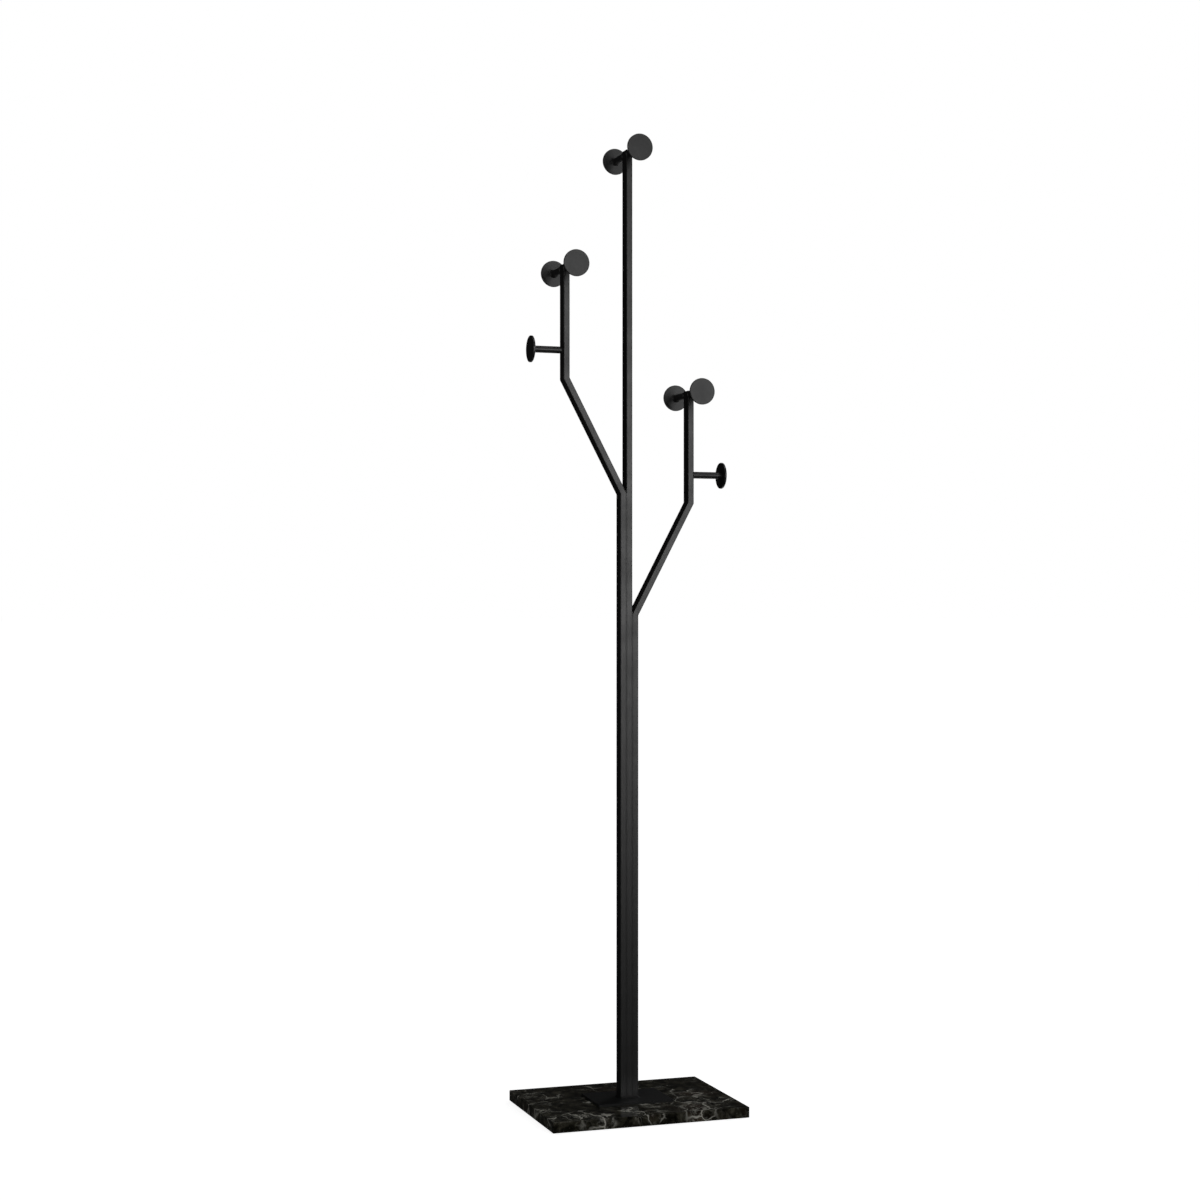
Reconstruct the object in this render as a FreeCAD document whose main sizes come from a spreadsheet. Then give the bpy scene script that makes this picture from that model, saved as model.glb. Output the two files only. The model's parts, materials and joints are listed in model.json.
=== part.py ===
import FreeCAD, Part
import os
import re

import Sketcher

# Standing coat rack: a stone slab, a foot plate bolted down onto it, a column of three flat steel
# tubes welded side by side, and three uprights that carry round pegs with a disc on each free end.
# Millimetres. The origin is on the floor under the middle of the slab, +Z is up and the front is -Y.
# The column's left and right tubes lean out as arms at different heights and rise again as uprights.

SIZES = {
    # stone slab and the pads that it stands on
    "base_length": 385,
    "base_depth": 280,
    "base_thick": 20,
    "base_arris": 0.8,
    "pad_diameter": 30,
    "pad_thick": 2,
    "pad_edge": 0.5,
    "pad_inset": 35,
    # foot plate, and the stud, washer and nut near each of its corners
    "plate_length": 150,
    "plate_depth": 105,
    "plate_thick": 4,
    "plate_edge": 0.6,
    "stud_inset": 20,
    "stud_diameter": 8,
    "stud_hole_gap": 0.5,
    "stud_tail": 1,
    "stud_point": 0.8,
    "sink_diameter": 24,
    "sink_depth": 10,
    "washer_diameter": 16,
    "washer_gap": 0.2,
    "washer_thick": 1.6,
    "nut_flats": 13,
    "nut_thick": 6.5,
    "thread_gap": 0.05,
    # flat tube of the column, the arms and the uprights, and the plate that closes each top end
    "tube_width": 12,
    "tube_depth": 25,
    "tube_wall": 1.5,
    "tube_corner": 1.5,
    "cap_thick": 1.5,
    "cap_edge": 0.4,
    # branches: a bend's height is that of the tube's axis above the floor
    "left_bend_height": 1172,
    "right_bend_height": 942,
    "arm_rise": 214,
    "upright_offset": 125,
    "side_peg_rise": 54,
    "cross_peg_rise": 208,
    "centre_peg_height": 1817,
    # pegs: the rod, the spigots that locate it in the tube and in the disc, and the disc
    "rod_diameter": 13,
    "rod_shoulder": 2.5,
    "cross_rod_length": 56,
    "side_rod_length": 59,
    "post_margin": 0.5,
    "spigot_gap": 0.1,
    "socket_depth": 1.8,
    "disc_diameter": 50,
    "disc_thick": 4,
    "disc_edge": 0.8,
}

DERIVED = {
    "base_top": "pad_thick + base_thick",
    "plate_top": "base_top + plate_thick",
    "pad_span_x": "base_length - 2 * pad_inset",
    "pad_span_y": "base_depth - 2 * pad_inset",
    "stud_span_x": "plate_length - 2 * stud_inset",
    "stud_span_y": "plate_depth - 2 * stud_inset",
    "stone_grip": "base_thick - sink_depth",
    "stud_length": "stone_grip + washer_thick + nut_thick + stud_tail",
    "stud_hole": "stud_diameter + 2 * stud_hole_gap",
    "thread_bore": "stud_diameter + 2 * thread_gap",
    "washer_bore": "stud_diameter + 2 * washer_gap",
    "nut_corner": "nut_flats / cos(30deg)",
    "arm_run": "upright_offset - tube_width",
    "arm_length": "sqrt(arm_run ^ 2 + arm_rise ^ 2)",
    "arm_lean": "atan(arm_run / arm_rise) / 1deg",
    "mitre_rise": "tube_width / 2 * tan(arm_lean * 1deg / 2)",
    "spigot_diameter": "rod_diameter - 2 * rod_shoulder",
    "spigot_hole": "spigot_diameter + 2 * spigot_gap",
    "post_over_peg": "rod_diameter / 2 + post_margin",
    "upright_length": "cross_peg_rise + post_over_peg - cap_thick",
    "centre_peg_rise": "centre_peg_height - plate_top",
    "centre_length": "centre_peg_rise + post_over_peg - cap_thick",
}

NAMES = set(SIZES) | set(DERIVED)
SIDES = {"left": -1, "right": 1}
X_AXIS = FreeCAD.Vector(1, 0, 0)
Y_AXIS = FreeCAD.Vector(0, 1, 0)

doc = FreeCAD.newDocument("coat_rack")
sheet = doc.addObject("Spreadsheet::Sheet", "Sizes")


def fill_sheet():
    """One row for each size, as a plain number, then one for each derived size, as a formula."""
    cells = [(name, str(number)) for name, number in SIZES.items()]
    cells += [(name, "=" + formula) for name, formula in DERIVED.items()]
    for row, (name, content) in enumerate(cells, start=1):
        sheet.set("A%d" % row, name)
        sheet.set("B%d" % row, content)
        sheet.setAlias("B%d" % row, name)
    doc.recompute()


def bound(formula):
    """The formula with every size in it addressed through the sheet."""
    return re.sub(r"[a-z]\w+", lambda word: "Sizes." * (word.group() in NAMES) + word.group(), formula)


def value(formula):
    return float(sheet.evalExpression(formula))


def new_body(label, at=("0", "0", "0"), turn=None, axis=Y_AXIS):
    """Body placed by three formulas, and turned about an axis by a formula in degrees."""
    body = doc.addObject("PartDesign::Body", label)
    body.Label = label
    if turn is not None:
        body.Placement = FreeCAD.Placement(FreeCAD.Vector(), FreeCAD.Rotation(axis, 1))
        body.setExpression("Placement.Rotation.Angle", bound(turn))
    for letter, formula in zip("xyz", at):
        body.setExpression("Placement.Base." + letter, bound(formula))
    return body


def origin_feature(body, role):
    return [feature for feature in body.Origin.OriginFeatures if feature.Role == role][0]


def new_sketch(body, plane, offset="0"):
    """Sketch on one of the body's origin planes, moved along the plane's normal by a formula."""
    sketch = body.newObject("Sketcher::SketchObject", body.Label + "_sketch")
    sketch.AttachmentSupport = [(origin_feature(body, plane), "")]
    sketch.MapMode = "FlatFace"
    sketch.setExpression("AttachmentOffset.Base.z", bound(offset))
    return sketch


def drive(sketch, constraint, formula):
    """Add a dimension to a sketch and bind it to a formula."""
    index = sketch.addConstraint(constraint)
    sketch.setExpression("Constraints[%d]" % index, bound(formula))


def pin(sketch, geometry, point, across, up):
    """Fix a sketch point at two formulas, measured from the sketch's origin."""
    for kind, axis, formula in (("DistanceX", -2, across), ("DistanceY", -1, up)):
        distance = value(formula)
        if abs(distance) < 1e-9:
            sketch.addConstraint(Sketcher.Constraint("PointOnObject", geometry, point, axis))
        elif distance > 0:
            drive(sketch, Sketcher.Constraint(kind, -1, 1, geometry, point, distance), formula)
        else:
            drive(sketch, Sketcher.Constraint(kind, geometry, point, -1, 1, -distance), "-(%s)" % formula)


def outline(sketch, corners):
    """Closed loop of straight lines through corners that are pairs of formulas."""
    points = [FreeCAD.Vector(value(across), value(up), 0) for across, up in corners]
    first = sketch.GeometryCount
    count = len(points)
    for index in range(count):
        sketch.addGeometry(Part.LineSegment(points[index], points[(index + 1) % count]), False)
    for index in range(count):
        following = first + (index + 1) % count
        sketch.addConstraint(Sketcher.Constraint("Coincident", first + index, 2, following, 1))
    for index, (across, up) in enumerate(corners):
        pin(sketch, first + index, 1, across, up)


def rectangle(sketch, width, depth):
    """Rectangle about the sketch's origin."""
    left, right = "-(%s) / 2" % width, "(%s) / 2" % width
    low, high = "-(%s) / 2" % depth, "(%s) / 2" % depth
    outline(sketch, [(left, low), (right, low), (right, high), (left, high)])


def circle(sketch, diameter, across="0", up="0"):
    centre = FreeCAD.Vector(value(across), value(up), 0)
    radius = value(diameter) / 2
    index = sketch.addGeometry(Part.Circle(centre, FreeCAD.Vector(0, 0, 1), radius), False)
    pin(sketch, index, 3, across, up)
    drive(sketch, Sketcher.Constraint("Diameter", index, 2 * radius), diameter)


def pad(body, sketch, length):
    feature = body.newObject("PartDesign::Pad", body.Label + "_pad")
    feature.Profile = sketch
    feature.setExpression("Length", bound(length))
    doc.recompute()


def cut_through(body, sketch, side=None):
    """Pocket with no end, both ways from its sketch or only towards the left or right side."""
    before = body.Shape.Volume
    feature = body.newObject("PartDesign::Pocket", body.Label + "_cut")
    feature.Profile = sketch
    feature.Type = "ThroughAll"
    feature.SideType = "One side" if side else "Symmetric"
    feature.Reversed = side == "right"
    doc.recompute()
    assert body.Shape.Volume < before, body.Label + ": a cut removed nothing"


def turn_profile(body, kind, corners):
    """Revolution or groove about the body's Z axis; the corners are radius and height formulas."""
    before = 0 if body.Shape.isNull() else body.Shape.Volume
    sketch = new_sketch(body, "XZ_Plane")
    outline(sketch, corners)
    feature = body.newObject("PartDesign::" + kind, body.Label + "_" + kind.lower())
    feature.Profile = sketch
    feature.ReferenceAxis = (sketch, ["V_Axis"])
    feature.Angle = 360
    doc.recompute()
    assert (body.Shape.Volume > before) == (kind == "Revolution"), body.Label + ": a turned profile failed"


def dress(body, kind, amount, chosen):
    """Fillet or chamfer the edges of the body's tip that pass the test."""
    base = body.Tip
    edges = ["Edge%d" % (index + 1) for index, edge in enumerate(base.Shape.Edges) if chosen(edge)]
    feature = body.newObject("PartDesign::" + kind, body.Label + "_" + kind.lower())
    feature.Base = (base, edges)
    feature.setExpression("Radius" if kind == "Fillet" else "Size", bound(amount))
    doc.recompute()


def upright(edge):
    """True for an edge that runs along the body's Z axis."""
    return edge.BoundBox.XLength < 1e-6 and edge.BoundBox.YLength < 1e-6


def level_at(height):
    """Test for edges that lie flat at a height above the body's origin."""
    level = value(height)
    return lambda edge: edge.BoundBox.ZLength < 1e-6 and abs(edge.BoundBox.ZMin - level) < 1e-6


def repeat_at_corners(body, span_x, span_y):
    """Copies of the body's solid at the corners of a rectangle that starts at its origin."""
    body.AllowCompound = True
    pattern = body.newObject("PartDesign::LinearPattern", body.Label + "_pattern")
    pattern.TransformMode = "Whole shape"
    pattern.Direction = (origin_feature(body, "X_Axis"), [""])
    pattern.Direction2 = (origin_feature(body, "Y_Axis"), [""])
    pattern.Occurrences = 2
    pattern.Occurrences2 = 2
    pattern.setExpression("Length", bound(span_x))
    pattern.setExpression("Length2", bound(span_y))
    body.Tip = pattern
    doc.recompute()


def marble_base():
    """Stone slab with a stud hole near each corner of the foot plate, sunk wider from below."""
    body = new_body("marble_base", ("0", "0", "pad_thick"))
    slab = new_sketch(body, "XY_Plane")
    rectangle(slab, "base_length", "base_depth")
    pad(body, slab, "base_thick")
    dress(body, "Chamfer", "base_arris", lambda edge: True)
    centres = new_sketch(body, "XY_Plane")
    for side in ("-1", "1"):
        for end in ("-1", "1"):
            circle(centres, "stud_hole", side + " * stud_span_x / 2", end + " * stud_span_y / 2")
    before = body.Shape.Volume
    hole = body.newObject("PartDesign::Hole", "marble_base_holes")
    hole.Profile = centres
    doc.recompute()
    hole.Reversed = True
    hole.DepthType = "ThroughAll"
    hole.HoleCutType = "Counterbore"
    hole.HoleCutCustomValues = True
    hole.setExpression("Diameter", bound("stud_hole"))
    hole.setExpression("HoleCutDiameter", bound("sink_diameter"))
    hole.setExpression("HoleCutDepth", bound("sink_depth"))
    doc.recompute()
    assert body.Shape.Volume < before, "the slab's holes removed nothing"
    return body


def base_pads():
    """Soft round pads near the slab's corners, which carry the whole rack."""
    body = new_body("base_pads", ("-pad_span_x / 2", "-pad_span_y / 2", "0"))
    disc = new_sketch(body, "XY_Plane")
    circle(disc, "pad_diameter")
    pad(body, disc, "pad_thick")
    dress(body, "Fillet", "pad_edge", level_at("0"))
    repeat_at_corners(body, "pad_span_x", "pad_span_y")
    return body


def foot_plate():
    """Steel plate on the slab, to which the column is welded."""
    body = new_body("foot_plate", ("0", "0", "base_top"))
    blank = new_sketch(body, "XY_Plane")
    rectangle(blank, "plate_length", "plate_depth")
    pad(body, blank, "plate_thick")
    dress(body, "Fillet", "plate_edge * 2", upright)
    dress(body, "Chamfer", "plate_edge", level_at("plate_thick"))
    return body


def foot_studs():
    """Threaded studs that hang from the foot plate through the slab."""
    body = new_body("foot_studs", ("-stud_span_x / 2", "-stud_span_y / 2", "base_top - stud_length"))
    section = new_sketch(body, "XY_Plane")
    circle(section, "stud_diameter")
    pad(body, section, "stud_length")
    dress(body, "Chamfer", "stud_point", level_at("0"))
    repeat_at_corners(body, "stud_span_x", "stud_span_y")
    return body


def base_washers():
    """Washers against the shoulders of the slab's sunk holes."""
    body = new_body(
        "base_washers",
        ("-stud_span_x / 2", "-stud_span_y / 2", "pad_thick + sink_depth - washer_thick"),
    )
    section = new_sketch(body, "XY_Plane")
    circle(section, "washer_diameter")
    circle(section, "washer_bore")
    pad(body, section, "washer_thick")
    repeat_at_corners(body, "stud_span_x", "stud_span_y")
    return body


def base_nuts():
    """Hexagon nuts under the washers, their lower corners turned off at 30 degrees."""
    body = new_body(
        "base_nuts",
        ("-stud_span_x / 2", "-stud_span_y / 2", "pad_thick + sink_depth - washer_thick - nut_thick"),
    )
    flat, tip, half_tip = "nut_flats / 2", "nut_corner / 2", "nut_corner / 4"
    section = new_sketch(body, "XY_Plane")
    hexagon = [
        (tip, "0"),
        (half_tip, flat),
        ("-" + half_tip, flat),
        ("-" + tip, "0"),
        ("-" + half_tip, "-" + flat),
        (half_tip, "-" + flat),
    ]
    outline(section, hexagon)
    circle(section, "thread_bore")
    pad(body, section, "nut_thick")
    clear = flat + " + " + tip
    turn_profile(body, "Groove", [(flat, "0"), (clear, "0"), (clear, tip + " * tan(30deg)")])
    repeat_at_corners(body, "stud_span_x", "stud_span_y")
    return body


def tube(label, at, length, turn=None, start_slope=0, end_slope=0):
    """Flat tube along the body's Z axis. A slope of 1 or -1 saws that end on the mitre, rising or
    falling towards +X; its axis still runs from 0 to the length."""
    body = new_body(label, at, turn)
    below = "-mitre_rise" if start_slope else "0"
    blank = length
    blank += " + mitre_rise" if start_slope else ""
    blank += " + mitre_rise" if end_slope else ""
    section = new_sketch(body, "XY_Plane", below)
    rectangle(section, "tube_width", "tube_depth")
    pad(body, section, blank)
    dress(body, "Fillet", "tube_corner", upright)
    bore = new_sketch(body, "XY_Plane", below)
    rectangle(bore, "tube_width - 2 * tube_wall", "tube_depth - 2 * tube_wall")
    cut_through(body, bore)
    if start_slope:
        saw_mitre(body, "0", start_slope, "-1")
    if end_slope:
        saw_mitre(body, length, end_slope, "1")
    return body


def saw_mitre(body, height, slope, beyond):
    """Cut away what lies past a sloping line through the tube's axis at a height."""
    rise = "%s + %d * 2 * mitre_rise"
    clear = "%s + %s * 4 * mitre_rise" % (height, beyond)
    waste = new_sketch(body, "XZ_Plane")
    outline(
        waste,
        [
            ("-tube_width", rise % (height, -slope)),
            ("tube_width", rise % (height, slope)),
            ("tube_width", clear),
            ("-tube_width", clear),
        ],
    )
    cut_through(body, waste)


def drill_cross(body, height):
    """Spigot holes in the tube's front and back walls."""
    drill = new_sketch(body, "XZ_Plane")
    circle(drill, "spigot_hole", "0", height)
    cut_through(body, drill)


def drill_side(body, height, side):
    """Spigot hole in the tube's outward side wall."""
    drill = new_sketch(body, "YZ_Plane")
    circle(drill, "spigot_hole", "0", height)
    cut_through(body, drill, side)


def end_cap(label, at):
    """Plate that closes the top end of an upright."""
    body = new_body(label, at)
    blank = new_sketch(body, "XY_Plane")
    rectangle(blank, "tube_width", "tube_depth")
    pad(body, blank, "cap_thick")
    dress(body, "Fillet", "tube_corner", upright)
    dress(body, "Fillet", "cap_edge", level_at("cap_thick"))
    return body


def centre_post():
    """Middle tube of the column, which runs on to the top of the rack."""
    post = tube("centre_post", ("0", "0", "plate_top"), "centre_length")
    drill_cross(post, "centre_peg_rise")
    cap = end_cap("centre_end_cap", ("0", "0", "plate_top + centre_length"))
    return [post, cap]


def branch(side):
    """Lower post, slanted arm and upright of one side, and the cap on the upright."""
    lean = SIDES[side]
    bend = side + "_bend_height"
    column_x = "%d * tube_width" % lean
    upright_x = "%d * upright_offset" % lean
    low = tube(
        side + "_lower_post", (column_x, "0", "plate_top"), bend + " - plate_top", end_slope=-lean
    )
    arm = tube(
        side + "_arm",
        (column_x, "0", bend),
        "arm_length",
        turn="%d * arm_lean" % lean,
        start_slope=lean,
        end_slope=lean,
    )
    high = tube(
        side + "_upper_post", (upright_x, "0", bend + " + arm_rise"), "upright_length", start_slope=-lean
    )
    drill_cross(high, "cross_peg_rise")
    drill_side(high, "side_peg_rise", side)
    cap = end_cap(side + "_end_cap", (upright_x, "0", bend + " + arm_rise + upright_length"))
    return [low, arm, high, cap]


def peg(label, direction, post_x, height):
    """Rod welded to a tube's face, with a spigot at each end, and the disc on its free end. It
    stands out to the front, back, left or right of the tube at post_x."""
    axis, turn = {
        "front": (X_AXIS, "90"),
        "back": (X_AXIS, "-90"),
        "left": (Y_AXIS, "-90"),
        "right": (Y_AXIS, "90"),
    }[direction]
    out = "-" if direction in ("front", "left") else "+"
    if direction in ("front", "back"):
        length = "cross_rod_length"
        root = (post_x, out + "tube_depth / 2", height)
        end = (post_x, "%s(tube_depth / 2 + %s)" % (out, length), height)
    else:
        length = "side_rod_length"
        root = ("%s %s tube_width / 2" % (post_x, out), "0", height)
        end = ("%s %s (tube_width / 2 + %s)" % (post_x, out, length), "0", height)
    spigot, barrel, rim = "spigot_diameter / 2", "rod_diameter / 2", "disc_diameter / 2"
    tip = length + " + socket_depth - spigot_gap"
    rod = new_body(label + "_rod", root, turn, axis)
    turned_rod = [
        ("0", "-tube_wall"),
        (spigot, "-tube_wall"),
        (spigot, "0"),
        (barrel, "0"),
        (barrel, length),
        (spigot, length),
        (spigot, tip),
        ("0", tip),
    ]
    turn_profile(rod, "Revolution", turned_rod)
    disc = new_body(label + "_disc", end, turn, axis)
    turned_disc = [
        ("0", "socket_depth"),
        ("spigot_hole / 2", "socket_depth"),
        ("spigot_hole / 2", "0"),
        (rim, "0"),
        (rim, "disc_thick"),
        ("0", "disc_thick"),
    ]
    turn_profile(disc, "Revolution", turned_disc)
    rim_radius = value(rim)
    dress(disc, "Fillet", "disc_edge", lambda edge: edge.BoundBox.XLength > 1.9 * rim_radius)
    return [rod, disc]


def pegs():
    """Front and back pegs at the top of each upright, and an outward peg on each branch."""
    made = []
    for direction in ("front", "back"):
        made += peg("centre_" + direction, direction, "0", "centre_peg_height")
    for side, lean in SIDES.items():
        post_x = "%d * upright_offset" % lean
        bend_top = side + "_bend_height + arm_rise"
        for direction in ("front", "back"):
            made += peg("%s_%s" % (side, direction), direction, post_x, bend_top + " + cross_peg_rise")
        made += peg(side + "_side", side, post_x, bend_top + " + side_peg_rise")
    return made


def check(bodies):
    """Stop if any object of the document failed or any sub-part's shape is unusable."""
    for item in doc.Objects:
        faults = {"Invalid", "Error"} & set(item.State)
        assert not faults, "%s: %s" % (item.Label, faults)
    for body in bodies:
        assert not body.Shape.isNull() and body.Shape.isValid(), body.Label + ": bad shape"


def write(bodies):
    os.makedirs("parts", exist_ok=True)
    for body in bodies:
        body.Shape.exportStep("parts/%s.step" % body.Label)
        print("%-20s solids %d  volume %10.1f mm3" % (body.Label, len(body.Shape.Solids), body.Shape.Volume))


fill_sheet()
sub_parts = [marble_base(), base_pads(), foot_plate(), foot_studs(), base_washers(), base_nuts()]
sub_parts += centre_post() + branch("left") + branch("right") + pegs()
doc.recompute()
check(sub_parts)
write(sub_parts)
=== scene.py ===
import json
import math

import bmesh
import bpy
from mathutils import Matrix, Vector, noise


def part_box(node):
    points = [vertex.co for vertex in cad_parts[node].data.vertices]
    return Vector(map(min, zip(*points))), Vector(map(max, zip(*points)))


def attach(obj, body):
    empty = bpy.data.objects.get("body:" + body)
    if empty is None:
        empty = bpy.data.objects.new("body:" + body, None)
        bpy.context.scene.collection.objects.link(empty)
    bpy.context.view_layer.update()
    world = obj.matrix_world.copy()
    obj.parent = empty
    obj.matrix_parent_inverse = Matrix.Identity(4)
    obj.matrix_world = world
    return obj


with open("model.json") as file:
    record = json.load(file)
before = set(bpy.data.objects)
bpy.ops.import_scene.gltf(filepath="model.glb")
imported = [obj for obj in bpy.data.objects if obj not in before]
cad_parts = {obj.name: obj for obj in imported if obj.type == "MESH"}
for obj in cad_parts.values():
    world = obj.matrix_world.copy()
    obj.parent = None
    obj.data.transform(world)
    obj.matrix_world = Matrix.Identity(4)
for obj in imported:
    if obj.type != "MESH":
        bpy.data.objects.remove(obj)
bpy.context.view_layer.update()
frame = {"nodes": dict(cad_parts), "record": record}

MM = 0.001
X, Y, Z = Vector((1, 0, 0)), Vector((0, 1, 0)), Vector((0, 0, 1))

# Each peg stands on this post and points this way.
PEGS = {
    "centre_front": ("centre_post", -Y),
    "centre_back": ("centre_post", Y),
    "left_front": ("left_upper_post", -Y),
    "left_back": ("left_upper_post", Y),
    "left_side": ("left_upper_post", -X),
    "right_front": ("right_upper_post", -Y),
    "right_back": ("right_upper_post", Y),
    "right_side": ("right_upper_post", X),
}

# Weld beads: how far each one reaches out of the corner that it fills.
FACE_LEG = 1.3 * MM
SIDE_LEG = 2.4 * MM
DISC_LEG = 2.0 * MM
FOOT_LEG = 2.2 * MM
CROTCH_LEG = 4.0 * MM

# Outer corner radius of the tubes.
TUBE_CORNER = 1.5 * MM

# Where the stone's pale veins gather on the slab: x, y and radius in millimetres.
VEIN_CLUSTERS = (
    (100, -118, 38),
    (128, -90, 24),
    (172, -74, 18),
    (-12, -120, 22),
    (-36, -88, 18),
    (-130, -104, 34),
    (-92, -126, 26),
    (-182, -112, 16),
    (-74, -8, 10),
    (-187, 77, 12),
    (104, 32, 12),
    (119, 84, 12),
)


# ---------------------------------------------------------------- node helpers


class Nodes:
    """A material's node tree, with short calls to add nodes and link them."""

    def __init__(self, material):
        material.use_nodes = True
        self.tree = material.node_tree
        self.tree.nodes.clear()
        self.output = self.add("ShaderNodeOutputMaterial")
        self.shader = self.add("ShaderNodeBsdfPrincipled")
        self.link(self.shader.outputs[0], self.output.inputs["Surface"])
        self.place = self.add("ShaderNodeTexCoord").outputs["Object"]

    def add(self, kind, **settings):
        node = self.tree.nodes.new(kind)
        for name, value in settings.items():
            setattr(node, name, value)
        return node

    def link(self, source, target):
        self.tree.links.new(source, target)

    def feed(self, target, value):
        """Link a socket, or set a plain value."""
        if isinstance(value, bpy.types.NodeSocket):
            self.link(value, target)
        else:
            target.default_value = value

    def noise(self, scale, detail=4.0, roughness=0.5, place=None, colour=False):
        """Noise whose features are about 1/scale metres across."""
        node = self.add("ShaderNodeTexNoise")
        self.link(place or self.place, node.inputs["Vector"])
        node.inputs["Scale"].default_value = scale
        node.inputs["Detail"].default_value = detail
        node.inputs["Roughness"].default_value = roughness
        return node.outputs["Color" if colour else "Fac"]

    def warp(self, place, scale, amount, detail=3.0):
        """Coordinates pushed about by noise, by up to about half the amount in metres."""
        push = self.add("ShaderNodeVectorMath", operation="MULTIPLY_ADD")
        self.link(self.noise(scale, detail, place=place, colour=True), push.inputs[0])
        push.inputs[1].default_value = (amount, amount, amount)
        self.link(place, push.inputs[2])
        return push.outputs[0]

    def ramp(self, value, *stops):
        """Colour ramp through (position, grey or colour) stops."""
        node = self.add("ShaderNodeValToRGB")
        elements = node.color_ramp.elements
        while len(elements) < len(stops):
            elements.new(0.5)
        for element, (position, colour) in zip(elements, stops):
            element.position = position
            element.color = colour if isinstance(colour, tuple) else grey(colour)
        self.link(value, node.inputs[0])
        return node.outputs[0]

    def math(self, operation, *values):
        node = self.add("ShaderNodeMath", operation=operation)
        for socket, value in zip(node.inputs, values):
            self.feed(socket, value)
        return node.outputs[0]

    def mix(self, factor, first, second):
        """Colour mix. The node's sockets for colours are inputs 6 and 7 and output 2."""
        node = self.add("ShaderNodeMix", data_type="RGBA")
        self.feed(node.inputs["Factor"], factor)
        self.feed(node.inputs[6], first)
        self.feed(node.inputs[7], second)
        return node.outputs[2]

    def bump(self, height, distance, below=None):
        """Bump of a height in metres, on top of another bump when one is given."""
        node = self.add("ShaderNodeBump")
        self.feed(node.inputs["Height"], height)
        node.inputs["Distance"].default_value = distance
        if below is not None:
            self.link(below, node.inputs["Normal"])
        return node.outputs[0]

    def edges(self, radius):
        """1 on edges sharper than a radius in metres, 0 on open faces."""
        bevel = self.add("ShaderNodeBevel", samples=6)
        bevel.inputs["Radius"].default_value = radius
        geometry = self.add("ShaderNodeNewGeometry")
        dot = self.add("ShaderNodeVectorMath", operation="DOT_PRODUCT")
        self.link(bevel.outputs[0], dot.inputs[0])
        self.link(geometry.outputs["Normal"], dot.inputs[1])
        return self.ramp(self.math("SUBTRACT", 1.0, dot.outputs["Value"]), (0.03, 0.0), (0.25, 1.0))

    def finish(self, colour, roughness, normal):
        self.feed(self.shader.inputs["Base Color"], colour)
        self.feed(self.shader.inputs["Roughness"], roughness)
        self.feed(self.shader.inputs["Normal"], normal)


def rgb(*values):
    return (*values, 1.0)


def grey(value):
    return (value, value, value, 1.0)


# ------------------------------------------------------------------- materials


def powder_coat(name, tone, specular, roughness):
    """Satin black powder coat: orange peel, speckle, faint tone clouds and edges rubbed a little grey."""
    material = bpy.data.materials.new(name)
    nodes = Nodes(material)
    nodes.shader.inputs["Specular IOR Level"].default_value = specular
    clouds = nodes.noise(9.0, detail=3.0)
    speckle = nodes.noise(900.0, detail=2.0)
    colour = nodes.mix(clouds, grey(tone * 0.75), grey(tone * 1.3))
    colour = nodes.mix(nodes.ramp(speckle, (0.62, 0.0), (0.72, 0.35)), colour, grey(tone * 2.6))
    rubbed = nodes.ramp(nodes.noise(120.0, detail=5.0, roughness=0.65), (0.5, 0.0), (0.72, 0.6))
    wear = nodes.math("MULTIPLY", nodes.edges(0.7 * MM), rubbed)
    colour = nodes.mix(wear, colour, grey(0.045))
    satin = nodes.ramp(nodes.noise(35.0, detail=4.0), (0.3, roughness), (0.7, roughness + 0.07))
    peel = nodes.bump(nodes.noise(420.0, detail=2.0, roughness=0.4), 0.03 * MM)
    nodes.finish(colour, nodes.mix(wear, satin, grey(0.3)), nodes.bump(speckle, 0.006 * MM, peel))
    return material


def vein_density(nodes):
    """0 to 1: how thickly the stone is veined, from loose patches and the named clusters."""
    density = nodes.ramp(nodes.noise(12.0, detail=3.0, roughness=0.6), (0.52, 0.0), (0.70, 0.5))
    fray = 50 * MM
    frayed = nodes.warp(nodes.place, 30.0, fray)
    mean_push = Vector((fray, fray, fray)) / 2
    slab_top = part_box("marble_base")[1].z
    for x, y, radius in VEIN_CLUSTERS:
        distance = nodes.add("ShaderNodeVectorMath", operation="DISTANCE")
        nodes.link(frayed, distance.inputs[0])
        distance.inputs[1].default_value = Vector((x * MM, y * MM, slab_top)) + mean_push
        fade_out = 1.3 * radius * MM
        fall = nodes.math("DIVIDE", distance.outputs["Value"], fade_out)
        density = nodes.math("MAXIMUM", density, nodes.math("SUBTRACT", 1.0, fall))
    return density


def cracks(nodes, place, scale, width):
    """Lines round cells about 1/scale metres across, which fade out at a varying half width in metres."""
    cells = nodes.add("ShaderNodeTexVoronoi", feature="DISTANCE_TO_EDGE")
    cells.inputs["Scale"].default_value = scale
    nodes.link(place, cells.inputs["Vector"])
    thick_and_thin = nodes.ramp(nodes.noise(45.0), (0.35, 0.15), (0.65, 1.0))
    half_width = nodes.math("MULTIPLY", thick_and_thin, width * scale)
    return nodes.math("SUBTRACT", 1.0, nodes.math("DIVIDE", cells.outputs["Distance"], half_width))


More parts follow.
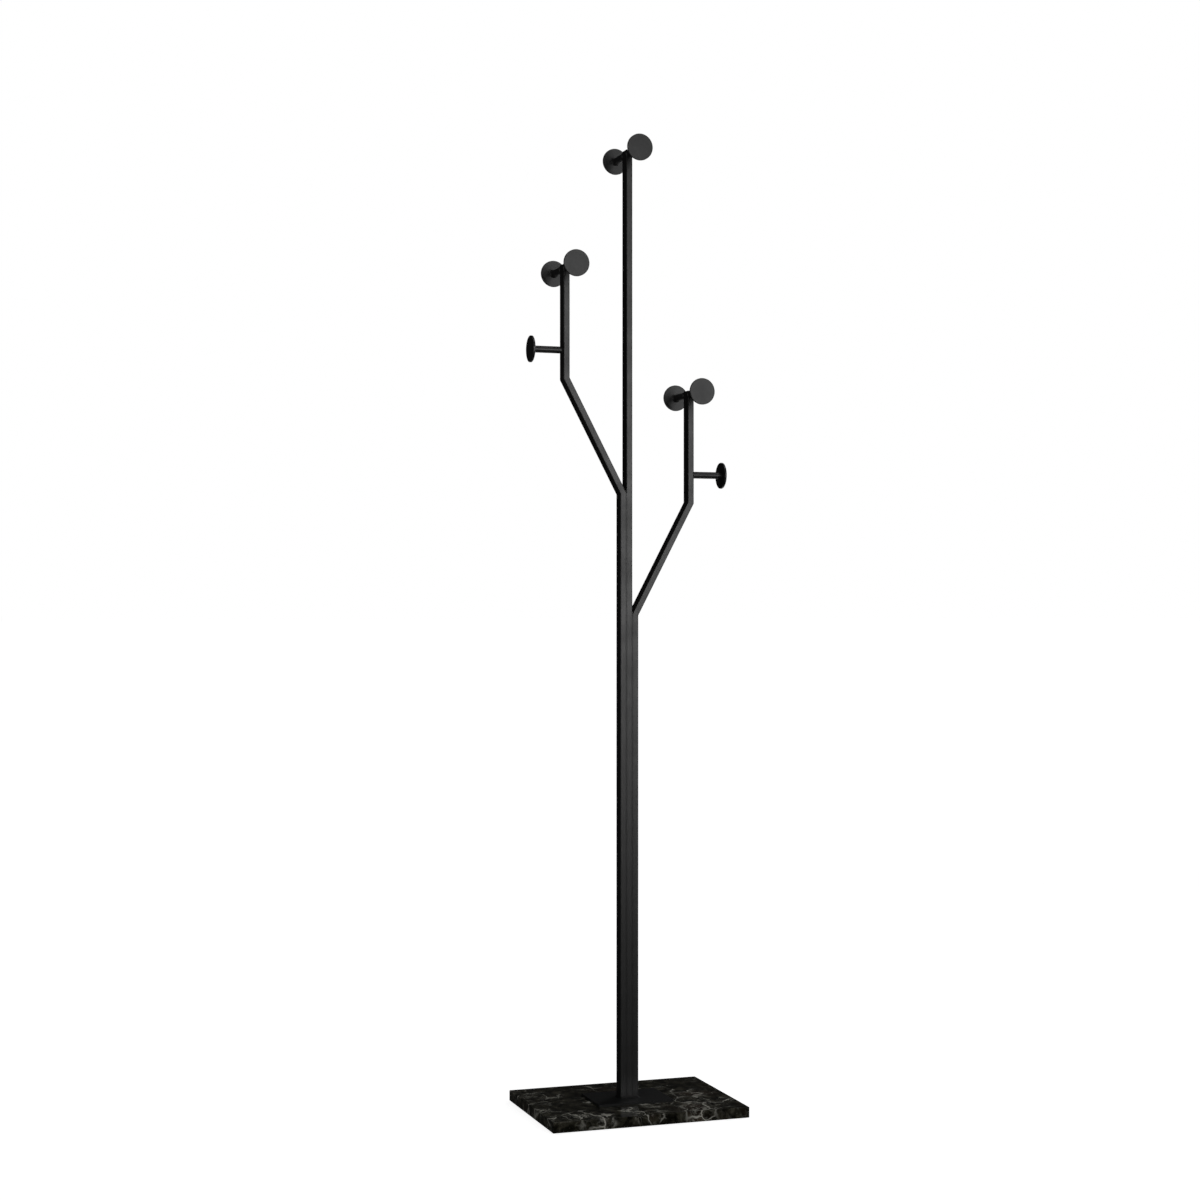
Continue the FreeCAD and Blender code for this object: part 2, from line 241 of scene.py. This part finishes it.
def vein_cover(nodes, bent, torn):
    """0 to 1: how much pale mineral covers the ground: nets of veins, blots, stray lines and flecks."""
    net = nodes.math("MAXIMUM", cracks(nodes, torn, 24.0, 4.4 * MM), 0.0)
    lace = nodes.math("MAXIMUM", cracks(nodes, torn, 64.0, 1.4 * MM), 0.0)
    veins = nodes.math("MAXIMUM", nodes.math("MULTIPLY", net, 1.3), nodes.math("MULTIPLY", lace, 0.25))
    cloudy = nodes.noise(75.0, detail=6.0, roughness=0.7, place=bent)
    blots = nodes.ramp(cloudy, (0.53, 0.0), (0.67, 0.8))
    where_dense = nodes.ramp(vein_density(nodes), (0.0, 0.0), (0.55, 1.0))
    gathered = nodes.math("MULTIPLY", nodes.math("MAXIMUM", veins, blots), where_dense)
    stray = nodes.math("MULTIPLY", net, nodes.ramp(nodes.noise(22.0), (0.5, 0.0), (0.62, 0.18)))
    flecks = nodes.ramp(nodes.noise(320.0, detail=3.0, roughness=0.6), (0.66, 0.0), (0.74, 0.3))
    cover = nodes.math("MAXIMUM", nodes.math("MAXIMUM", gathered, stray), flecks)
    return nodes.math("MINIMUM", cover, 1.0)


def marble(name):
    """Polished dark brown stone: mottled olive ground, rusty patches, pale veins and chipped arrises."""
    material = bpy.data.materials.new(name)
    nodes = Nodes(material)
    nodes.shader.inputs["Specular IOR Level"].default_value = 0.25
    bent = nodes.warp(nodes.place, 16.0, 50 * MM)
    torn = nodes.warp(bent, 110.0, 8 * MM)
    mottle = nodes.noise(62.0, detail=7.0, roughness=0.62, place=torn)
    ground = nodes.ramp(
        mottle,
        (0.34, rgb(0.0022, 0.0020, 0.0012)),
        (0.47, rgb(0.0130, 0.0122, 0.0084)),
        (0.58, rgb(0.0440, 0.0410, 0.0290)),
        (0.70, rgb(0.1150, 0.1080, 0.0840)),
    )
    rust = nodes.ramp(nodes.noise(11.0, detail=4.0, place=bent), (0.6, 0.0), (0.74, 0.6))
    ground = nodes.mix(rust, ground, rgb(0.060, 0.034, 0.022))
    pale = vein_cover(nodes, bent, torn)
    colour = nodes.mix(pale, ground, rgb(0.55, 0.54, 0.48))
    arris = nodes.edges(1.2 * MM)
    chips = nodes.math("MULTIPLY", arris, nodes.ramp(nodes.noise(160.0), (0.5, 0.0), (0.7, 0.4)))
    colour = nodes.mix(chips, colour, rgb(0.10, 0.095, 0.08))
    gloss = nodes.mix(pale, grey(0.16), grey(0.26))
    polish = nodes.bump(nodes.noise(240.0, detail=3.0), 0.004 * MM, nodes.bump(pale, 0.006 * MM))
    nodes.finish(colour, nodes.mix(arris, gloss, grey(0.6)), polish)
    return material


def zinc(name):
    """Bright zinc plate with fine spangle, and thread-like rings along Z."""
    material = bpy.data.materials.new(name)
    nodes = Nodes(material)
    nodes.shader.inputs["Metallic"].default_value = 1.0
    spangle = nodes.noise(350.0, detail=3.0, roughness=0.6)
    rings = nodes.add("ShaderNodeTexWave", wave_type="BANDS", bands_direction="Z")
    rings.inputs["Scale"].default_value = 250.0
    nodes.link(nodes.place, rings.inputs["Vector"])
    nodes.finish(
        nodes.mix(spangle, rgb(0.42, 0.41, 0.38), rgb(0.66, 0.66, 0.64)),
        nodes.ramp(spangle, (0.3, 0.28), (0.7, 0.45)),
        nodes.bump(spangle, 0.02 * MM, nodes.bump(rings.outputs["Fac"], 0.06 * MM)),
    )
    return material


def rubber(name):
    """Matte black rubber with a fine moulded grain and a little dust."""
    material = bpy.data.materials.new(name)
    nodes = Nodes(material)
    grain = nodes.noise(1100.0, detail=3.0)
    dust = nodes.ramp(nodes.noise(60.0, detail=5.0, roughness=0.7), (0.5, 0.0), (0.75, 0.5))
    nodes.finish(
        nodes.mix(dust, grey(0.015), rgb(0.05, 0.048, 0.045)),
        nodes.ramp(grain, (0.3, 0.7), (0.7, 0.9)),
        nodes.bump(grain, 0.05 * MM),
    )
    return material


def dress_cad_nodes(finishes):
    """Give each CAD node the finish of its material slot, and the foot plate its own duller coat, whose
    darker colour is painted shade.
    """
    slots = {row["node"]: row["material_slot"] for row in frame["record"]["subparts"]}
    for name, piece in frame["nodes"].items():
        finish = "foot_shaded_coat" if name == "foot_plate" else slots[name]
        for slot in piece.material_slots:
            slot.material = finishes[finish]


# ----------------------------------------------------------------- weld beads


def sweep(name, rings, closed, slot, finish=None):
    """A solid skin through rings of points, whose ends are joined to each other or closed with faces.

    Its look is the named finish, or else the one for its material slot.
    """
    mesh = bmesh.new()
    loops = [[mesh.verts.new(point) for point in ring] for ring in rings]
    pairs = zip(loops, loops[1:] + loops[:1]) if closed else zip(loops, loops[1:])
    for here, there in pairs:
        for index in range(len(here)):
            mesh.faces.new((here[index - 1], here[index], there[index], there[index - 1]))
    if not closed:
        mesh.faces.new(loops[0])
        mesh.faces.new(loops[-1])
    bmesh.ops.recalc_face_normals(mesh, faces=mesh.faces)
    data = bpy.data.meshes.new(name)
    mesh.to_mesh(data)
    mesh.free()
    data.shade_smooth()
    data.set_sharp_from_angle(angle=math.radians(50))
    data.materials.append(FINISHES[finish or slot])
    piece = bpy.data.objects.new(name, data)
    bpy.context.scene.collection.objects.link(piece)
    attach(piece, "root")


def bead_profile(leg):
    """Section of a fillet weld, from its toe on the rod to its toe on the wall and back inside both.

    Each point is (distance out from the wall, distance off the rod's side).
    """
    buried = -0.6 * MM
    wrapped = -1.3 * MM
    return (
        (leg + 0.1 * MM, buried / 2),
        (leg, 0.02 * MM),
        (0.68 * leg, 0.24 * leg),
        (0.45 * leg, 0.45 * leg),
        (0.24 * leg, 0.68 * leg),
        (0.0, leg),
        (wrapped * 0.4, 0.8 * leg),
        (wrapped * 0.8, 0.3 * leg),
        (wrapped, buried),
    )


def rippled(leg, travel, seed):
    """A bead's leg at a distance along it, with even ripples and a slow wander."""
    ripple_pitch = 1.4 * MM
    wander_pitch = 9 * MM
    ripple = 0.05 * math.sin(travel / ripple_pitch * math.tau)
    wander = 0.10 * noise.noise(Vector((travel / wander_pitch, seed, 0)))
    return leg * (1 + ripple + wander)


def weld_ring(name, root, out, radius, leg, seed):
    """A fillet weld round a rod that leaves a wall at root along out."""
    steps = 120
    first = out.orthogonal().normalized()
    second = out.cross(first)
    rings = []
    for step in range(steps):
        angle = step / steps * math.tau
        spoke = math.cos(angle) * first + math.sin(angle) * second
        size = rippled(leg, angle * radius, seed)
        rings.append([root + along * out + (radius + off) * spoke for along, off in bead_profile(size)])
    sweep(name, rings, True, "peg_coat")


def reach(node, direction):
    """How far a CAD node reaches along a direction."""
    low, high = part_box(node)
    return max(low.dot(direction), high.dot(direction))


def weld_pegs():
    """A bead where each rod leaves its post, and one where it meets the back of its disc."""
    for seed, (peg, (post, out)) in enumerate(PEGS.items()):
        low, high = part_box(peg + "_rod")
        axis = (low + high) / 2
        axis -= axis.dot(out) * out
        radius = (high.z - low.z) / 2
        leg = SIDE_LEG if peg.endswith("side") else FACE_LEG
        weld_ring(peg + "_root_weld", axis + reach(post, out) * out, out, radius, leg, seed)
        disc_back = -reach(peg + "_disc", -out)
        disc_seed = seed + 50
        weld_ring(peg + "_disc_weld", axis + disc_back * out, -out, radius, DISC_LEG, disc_seed)


def rounded_outline(low, high, corner, spacing):
    """Points round a rounded rectangle with their outward directions and the distance travelled."""
    centres = (
        (high.x - corner, high.y - corner),
        (low.x + corner, high.y - corner),
        (low.x + corner, low.y + corner),
        (high.x - corner, low.y + corner),
    )
    quarter_turn = math.pi / 2
    arc_steps = 4
    points = []
    travel = 0.0
    for quarter, centre in enumerate(centres):
        for step in range(arc_steps + 1):
            angle = (quarter + step / arc_steps) * quarter_turn
            outward = Vector((math.cos(angle), math.sin(angle), 0))
            points.append((Vector((*centre, 0)) + corner * outward, outward, travel))
            travel += corner * quarter_turn / arc_steps
        base = points[-1][0]
        side = Vector((*centres[(quarter + 1) % 4], 0)) + corner * outward - base
        count = int(side.length / spacing)
        for step in range(1, count):
            travel += side.length / count
            points.append((base + side * step / count, outward, travel))
    return points


def weld_foot():
    """The rippled bead that ties the three tubes to the foot plate."""
    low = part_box("left_lower_post")[0]
    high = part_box("right_lower_post")[1]
    plate_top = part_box("foot_plate")[1].z
    spacing = 0.4 * MM
    rings = []
    for point, outward, travel in rounded_outline(low, high, TUBE_CORNER, spacing):
        size = rippled(FOOT_LEG, travel, seed=9.0)
        base = Vector((point.x, point.y, plate_top))
        rings.append([base + along * Z + off * outward for along, off in bead_profile(size)])
    # The bead wears the foot's duller coat, whose darker colour is painted shade at the base.
    sweep("foot_weld", rings, True, "powder_coat", finish="foot_shaded_coat")


def fill_seam(name, x, face_y, bottom, top):
    """Weld and paint that nearly fill the groove between two tubes' rounded corners.

    Each point of the section is (across the groove, in from the tubes' faces).
    """
    inward = Y if face_y < 0 else -Y
    section = (
        (-0.95 * MM, 0.14 * MM),
        (-0.5 * MM, 0.21 * MM),
        (0, 0.24 * MM),
        (0.5 * MM, 0.21 * MM),
        (0.95 * MM, 0.14 * MM),
        (0.5 * MM, 0.9 * MM),
        (-0.5 * MM, 0.9 * MM),
    )
    ring_pitch = 4 * MM
    wander_pitch = 12 * MM
    steps = int((top - bottom) / ring_pitch)
    rings = []
    for step in range(steps + 1):
        z = bottom + (top - bottom) * step / steps
        sink = 0.03 * MM * noise.noise(Vector((z / wander_pitch, x / MM, face_y / MM)))
        base = Vector((x, face_y, z))
        rings.append([base + across * X + (depth + sink) * inward for across, depth in section])
    sweep(name, rings, False, "powder_coat")


def weld_crotch(name, post, arm):
    """The web of weld in the narrow V where an arm leans away from the centre post.

    Each point of the section is (out from the centre post's side, up from the bottom of the V).
    """
    centre_low, centre_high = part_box("centre_post")
    post_low, post_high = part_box(post)
    arm_low, arm_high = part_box(arm)
    leaning = -1 if arm_low.x < centre_low.x else 1
    side = centre_low.x if leaning < 0 else centre_high.x
    vertex = Vector((side, 0, post_high.z))
    tube_width = post_high.x - post_low.x
    lean = (arm_high.x - arm_low.x - tube_width) / (arm_high.z - arm_low.z)
    buried = 0.3 * MM
    half_depth = centre_high.y - TUBE_CORNER
    steps = 24
    rings = []
    for step in range(steps + 1):
        y = half_depth * (2 * step / steps - 1)
        tall = rippled(CROTCH_LEG, y + half_depth, seed=3.0)
        section = (
            (-buried, 0),
            (-buried, tall),
            (lean * tall * 0.5, tall * 0.8),
            (lean * tall + buried, tall),
            (buried, 0),
        )
        rings.append([vertex + leaning * across * X + y * Y + up * Z for across, up in section])
    sweep(name, rings, False, "powder_coat")


def weld_column():
    """Seams up the front and back of the column, and the crotches where the branches leave it."""
    plate_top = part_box("foot_plate")[1].z
    centre_low, centre_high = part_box("centre_post")
    for side, x in (("left", centre_low.x), ("right", centre_high.x)):
        post = side + "_lower_post"
        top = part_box(post)[1].z
        fill_seam(side + "_front_seam", x, centre_low.y, plate_top, top)
        fill_seam(side + "_back_seam", x, centre_high.y, plate_top, top)
        weld_crotch(side + "_crotch_weld", post, side + "_arm")


# ---------------------------------------------------------------- camera, light


def make_camera():
    """Level camera to the front left of the rack, a little under a metre high."""
    azimuth = math.radians(18.83)
    distance, aside, height = 4.094, 0.052, 0.951
    ahead = Vector((math.sin(azimuth), math.cos(azimuth), 0))
    right = Vector((math.cos(azimuth), -math.sin(azimuth), 0))
    data = bpy.data.cameras.new("camera")
    data.lens = 64.58
    data.sensor_width = 36.0
    data.shift_y = 0.00825
    camera = bpy.data.objects.new("camera", data)
    camera.location = -distance * ahead - aside * right + height * Z
    camera.rotation_euler = (math.pi / 2, 0, -azimuth)
    bpy.context.scene.collection.objects.link(camera)
    bpy.context.scene.camera = camera


def softbox(name, place, target, width, tall, watts):
    """A rectangular area light aimed at a target, which the camera sees only in reflections."""
    data = bpy.data.lights.new(name, "AREA")
    data.shape = "RECTANGLE"
    data.size, data.size_y = width, tall
    data.energy = watts
    light = bpy.data.objects.new(name, data)
    light.location = place
    light.rotation_euler = (Vector(target) - Vector(place)).to_track_quat("-Z", "Y").to_euler()
    light.visible_camera = False
    bpy.context.scene.collection.objects.link(light)


def make_lights():
    """A key in three heights to the front right shapes the tubes' fronts, brightest at mid height.

    The tall boxes round the rack show its sides and its back, the top one the stone, and the low one
    behind lies on the floor and shines up, to be mirrored by the lower back of the column.
    """
    for height, tall, watts in ((0.56, 0.5, 6.8), (1.36, 0.9, 18.3), (2.3, 1.0, 7.8)):
        softbox("key", (1.0, -3.4, height), (0, 0, height), 1.0, tall, watts)
    softbox("front", (0.0, -3.6, 1.4), (0, 0, 1.4), 0.6, 1.4, 4)
    softbox("top", (0.5, -0.4, 3.4), (0, 0, 0.6), 1.2, 1.2, 9)
    softbox("behind", (1.35, 1.35, 0.04), (1.35, 1.35, 1), 1.8, 1.8, 12)
    height, tall, aim = 1.15, 2.2, (0, 0, 1.0)
    softbox("front_left", (-2.5, -2.5, height), aim, 0.9, tall, 10)
    softbox("back_right", (2.8, 2.2, height), aim, 1.2, tall, 24)
    softbox("left", (-3.4, 0.2, height), aim, 0.9, tall, 9)
    softbox("right", (3.4, -0.2, height), aim, 0.9, tall, 12)


def make_world():
    """White to the camera, nearly dark to everything else, so that the softboxes shape the metal."""
    world = bpy.data.worlds.new("studio")
    world.use_nodes = True
    tree = world.node_tree
    tree.nodes.clear()
    output = tree.nodes.new("ShaderNodeOutputWorld")
    mixer = tree.nodes.new("ShaderNodeMixShader")
    room, backdrop = (tree.nodes.new("ShaderNodeBackground") for _ in range(2))
    room.inputs["Color"].default_value = grey(1.0)
    room.inputs["Strength"].default_value = 0.012
    backdrop.inputs["Color"].default_value = grey(1.0)
    backdrop.inputs["Strength"].default_value = 1.0
    path = tree.nodes.new("ShaderNodeLightPath")
    tree.links.new(path.outputs["Is Camera Ray"], mixer.inputs[0])
    tree.links.new(room.outputs[0], mixer.inputs[1])
    tree.links.new(backdrop.outputs[0], mixer.inputs[2])
    tree.links.new(mixer.outputs[0], output.inputs["Surface"])
    bpy.context.scene.world = world


def make_floor():
    """White studio floor that glows a little less near the rack, where the softboxes light it too.

    Far off it is as white as the backdrop, so that no horizon shows. It neither lights the rack nor
    shows in its reflections.
    """
    bpy.ops.mesh.primitive_plane_add(size=400)
    floor = bpy.context.object
    floor.name = "floor"
    material = bpy.data.materials.new("floor_paint")
    nodes = Nodes(material)
    away = nodes.add("ShaderNodeVectorMath", operation="LENGTH")
    nodes.link(nodes.place, away.inputs[0])
    far_off = 5.0
    near = nodes.ramp(nodes.math("DIVIDE", away.outputs["Value"], far_off), (0.2, 1.0), (1.0, 0.0))
    nodes.shader.inputs["Base Color"].default_value = grey(0.6)
    nodes.shader.inputs["Roughness"].default_value = 0.9
    nodes.shader.inputs["Specular IOR Level"].default_value = 0.0
    nodes.shader.inputs["Emission Color"].default_value = grey(1.0)
    strength = nodes.math("SUBTRACT", 1.0, nodes.math("MULTIPLY", near, 0.1))
    nodes.link(strength, nodes.shader.inputs["Emission Strength"])
    floor.data.materials.append(material)
    floor.visible_diffuse = False
    floor.visible_glossy = False


# One look for each material slot in the record, and the foot's duller coat, whose darker tone is painted
# shade at the base.
FINISHES = {
    "powder_coat": powder_coat("powder_coat_frame", 0.008, specular=0.5, roughness=0.34),
    "peg_coat": powder_coat("powder_coat_pegs", 0.008, specular=0.68, roughness=0.42),
    # The foot's coat is the frame's black made darker, which is painted shade at the base; its lower
    # specular level and higher roughness make it duller.
    "foot_shaded_coat": powder_coat("powder_coat_foot_painted_shade", 0.006, specular=0.25, roughness=0.50),
    "stone": marble("polished_marble"),
    "zinc": zinc("zinc_plate"),
    "rubber": rubber("pad_rubber"),
}
make_camera()
dress_cad_nodes(FINISHES)
weld_pegs()
weld_foot()
weld_column()
make_world()
make_floor()
make_lights()
bpy.context.scene.view_settings.view_transform = "Standard"
